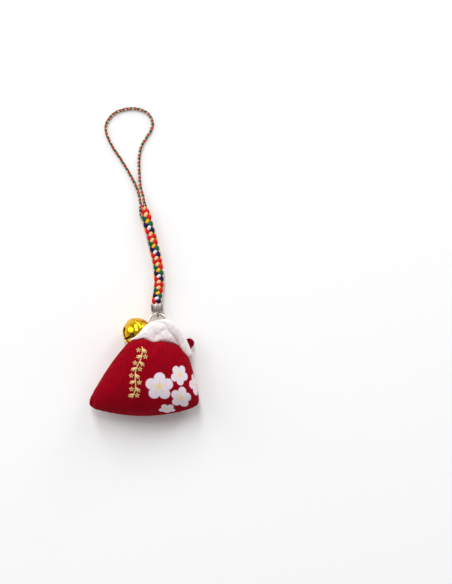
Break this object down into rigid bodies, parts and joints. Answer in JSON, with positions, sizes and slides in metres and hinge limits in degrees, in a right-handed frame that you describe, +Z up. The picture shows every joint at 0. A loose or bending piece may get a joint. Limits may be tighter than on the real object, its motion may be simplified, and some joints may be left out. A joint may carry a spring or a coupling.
{
  "type": "omamori charm",
  "caption": "Stuffed four-cornered cloth charm pouch with a white collar at its mouth, a round jingle bell and a braided strap ending in a cord loop, lying on its back.",
  "frame": {"origin": "centre of the flat on the pouch's belly that it rests on", "axes": "+Z up from the surface that it lies on, +Y from the pouch towards the strap, +X to the right seen from above"},
  "size_m": [0.0285, 0.0824, 0.0131],
  "materials": {
    "pouch_cloth": "plain weave",
    "wadding": "loose fibre",
    "slip_paper": "matt",
    "collar_crepe": "crepe",
    "white_thread": "twisted thread",
    "ring_steel": "bright plated wire",
    "bell_brass": "polished",
    "crimp_steel": "dull plated",
    "braid_cord": "round braid of coloured strands",
    "loop_cord": "thin braid of coloured strands"
  },
  "bodies": {
    "pouch": {"front_cloth": "pouch_cloth", "back_cloth": "pouch_cloth", "stuffing": "wadding", "prayer_slip": "slip_paper", "collar_back_lip": "collar_crepe", "collar_front_lip": "collar_crepe", "hanger_thread": "white_thread"},
    "ring": {"jump_ring": "ring_steel"},
    "bell": {"bell_upper_cup": "bell_brass", "bell_lower_cup": "bell_brass", "bell_shank": "bell_brass"},
    "pellet": {"bell_pellet": "ring_steel"},
    "strap": {"cord_crimp": "crimp_steel", "strap_braid": "braid_cord", "strap_loop": "loop_cord"}
  },
  "joints": [
    {"name": "ring_swing", "type": "hinge", "parent": "pouch", "child": "ring", "pos_m": [0.0031, 0.01238, 0.00151], "axis": [1, 0, 0], "range_deg": [-50, 5]},
    {"name": "strap_swing", "type": "hinge", "parent": "ring", "child": "strap", "pos_m": [0.0031, 0.01668, 0.00151], "axis": [1, 0, 0], "range_deg": [-90, 85]},
    {"name": "bell_swing", "type": "hinge", "parent": "ring", "child": "bell", "pos_m": [0.00122, 0.0135, 0.00151], "axis": [0.4833, -0.8755, 0], "range_deg": [0, 90]},
    {"name": "pellet_rattle", "type": "slide", "parent": "bell", "child": "pellet", "axis": [0, 0, 1], "range_m": [0, 0.0041]}
  ]
}
